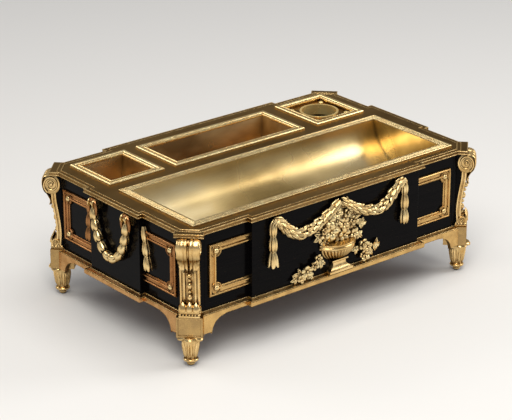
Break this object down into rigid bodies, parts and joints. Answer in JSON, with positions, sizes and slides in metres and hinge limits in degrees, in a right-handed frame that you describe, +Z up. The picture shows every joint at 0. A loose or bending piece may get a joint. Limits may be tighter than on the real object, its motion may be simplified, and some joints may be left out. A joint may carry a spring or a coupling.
{
  "type": "desk inkstand",
  "caption": "Footed ebonised desk inkstand with gilt mounts, lift-out pen tray and wells, a ring for an inkwell and a hinged garland handle at each end.",
  "frame": {"origin": "middle of the footprint on the desk, under the middle of the case", "axes": "+X along the length towards the inkwell's end, -Y out of the front beside the pen tray, +Z up"},
  "size_m": [0.3488, 0.2318, 0.1256],
  "materials": {
    "ebonised_wood": "black polish",
    "carcass_wood": "plain oiled",
    "gilt_bronze": "chased and gilt, softly worn",
    "plate_brass": "dull gilt with polished edges",
    "liner_brass": "polished, clouded inside",
    "steel": "dark, oiled"
  },
  "bodies": {
    "case": {"front_board": "ebonised_wood", "back_board": "ebonised_wood", "left_board": "ebonised_wood", "right_board": "ebonised_wood", "corner_posts": "ebonised_wood", "bottom_board": "carcass_wood", "top_board": "carcass_wood", "front_panel": "ebonised_wood", "back_panel": "ebonised_wood", "left_panel": "ebonised_wood", "right_panel": "ebonised_wood", "front_rail": "plate_brass", "back_rail": "plate_brass", "left_rail": "plate_brass", "right_rail": "plate_brass", "front_left_block": "gilt_bronze", "front_right_block": "gilt_bronze", "back_left_block": "gilt_bronze", "back_right_block": "gilt_bronze", "front_left_foot": "gilt_bronze", "front_right_foot": "gilt_bronze", "back_left_foot": "gilt_bronze", "back_right_foot": "gilt_bronze", "front_left_console": "gilt_bronze", "front_right_console": "gilt_bronze", "back_left_console": "gilt_bronze", "back_right_console": "gilt_bronze", "foot_studs": "steel", "block_screws": "steel", "console_screws": "steel", "top_plate": "plate_brass", "inkwell_frame": "gilt_bronze", "inkwell_plate": "plate_brass", "inkwell_ring": "gilt_bronze", "ring_screws": "gilt_bronze", "front_left_bracket": "gilt_bronze", "front_right_bracket": "gilt_bronze", "back_left_bracket": "gilt_bronze", "back_right_bracket": "gilt_bronze", "left_front_bracket": "gilt_bronze", "left_back_bracket": "gilt_bronze", "right_front_bracket": "gilt_bronze", "right_back_bracket": "gilt_bronze", "bracket_rosettes": "gilt_bronze", "front_garland": "gilt_bronze", "back_garland": "gilt_bronze", "front_basket": "gilt_bronze", "back_basket": "gilt_bronze", "front_flowers": "gilt_bronze", "back_flowers": "gilt_bronze", "end_drops": "gilt_bronze", "left_lugs": "gilt_bronze", "right_lugs": "gilt_bronze", "bail_pins": "gilt_bronze"},
    "pen_tray": {"pen_tray": "liner_brass"},
    "small_well": {"small_well": "liner_brass"},
    "middle_well": {"middle_well": "liner_brass"},
    "left_bail": {"left_bail": "gilt_bronze"},
    "right_bail": {"right_bail": "gilt_bronze"}
  },
  "joints": [
    {"name": "lift_pen_tray", "type": "slide", "parent": "case", "child": "pen_tray", "axis": [0, 0, 1], "range_m": [0, 0.06]},
    {"name": "lift_small_well", "type": "slide", "parent": "case", "child": "small_well", "axis": [0, 0, 1], "range_m": [0, 0.06]},
    {"name": "lift_middle_well", "type": "slide", "parent": "case", "child": "middle_well", "axis": [0, 0, 1], "range_m": [0, 0.06]},
    {"name": "left_handle_hinge", "type": "hinge", "parent": "case", "child": "left_bail", "pos_m": [-0.1701, 0, 0.1145], "axis": [0, 1, 0], "range_deg": [0, 90]},
    {"name": "right_handle_hinge", "type": "hinge", "parent": "case", "child": "right_bail", "pos_m": [0.1701, 0, 0.1145], "axis": [0, -1, 0], "range_deg": [0, 90]}
  ]
}
